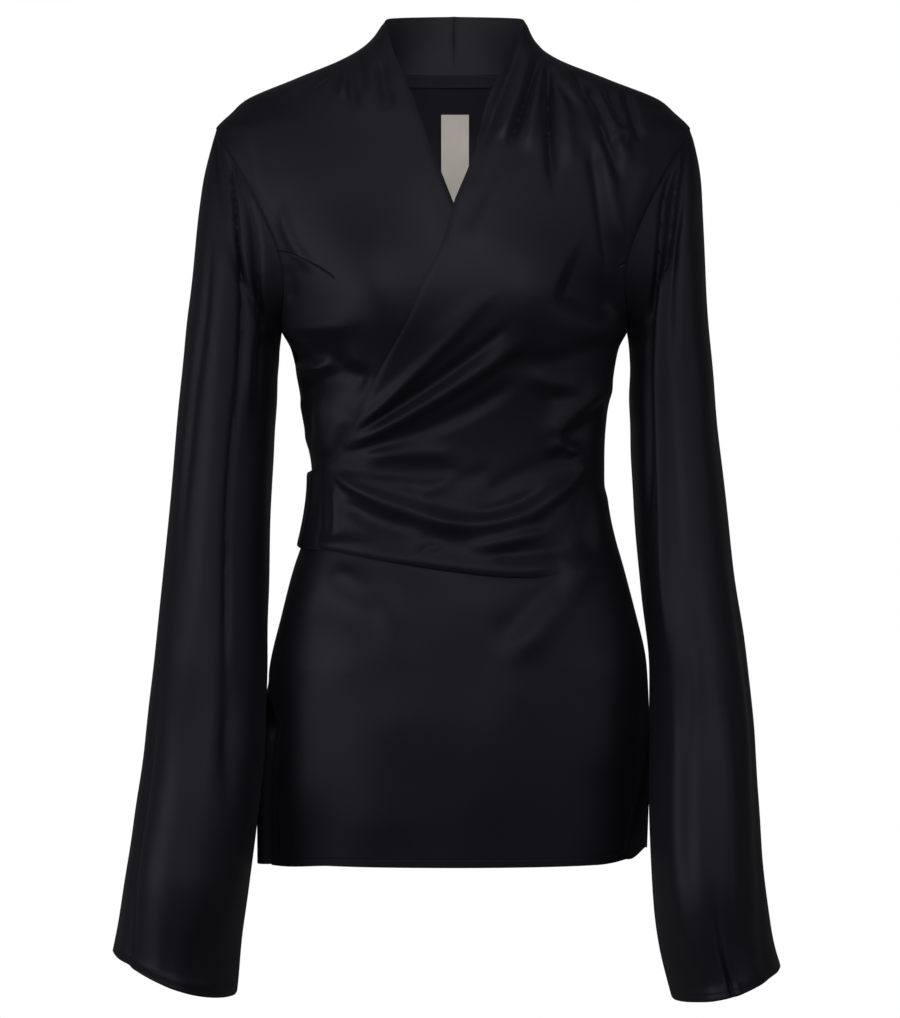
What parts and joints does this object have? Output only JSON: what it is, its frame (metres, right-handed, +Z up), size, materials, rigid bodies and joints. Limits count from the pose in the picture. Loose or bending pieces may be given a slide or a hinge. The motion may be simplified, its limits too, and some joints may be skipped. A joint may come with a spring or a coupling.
{
  "type": "wrap top",
  "caption": "Women's hip-length wrap top with a standing shawl collar, V neck, gathered wrap front held at the side by a waist sash, side vents and long bell sleeves.",
  "frame": {"origin": "between the shoulders at the base of the neck, on the level of the side of the neck, where the wearer's shoulders carry the top", "axes": "+Z up along the body, the front faces -Y, +X is the viewer's right seen from the front, which is the wearer's left"},
  "size_m": [0.554, 0.2596, 0.8308],
  "materials": {
    "satin": "heavy black satin with a broad soft sheen, duller on the inside",
    "tape": "matt black tape",
    "label": "woven taupe label, plain"
  },
  "bodies": {
    "root": {"back": "satin", "front_wrap": "satin", "front_under": "satin", "sash": "satin", "sleeve_left": "satin", "sleeve_right": "satin", "neck_tape": "tape", "label": "label"}
  },
  "joints": []
}
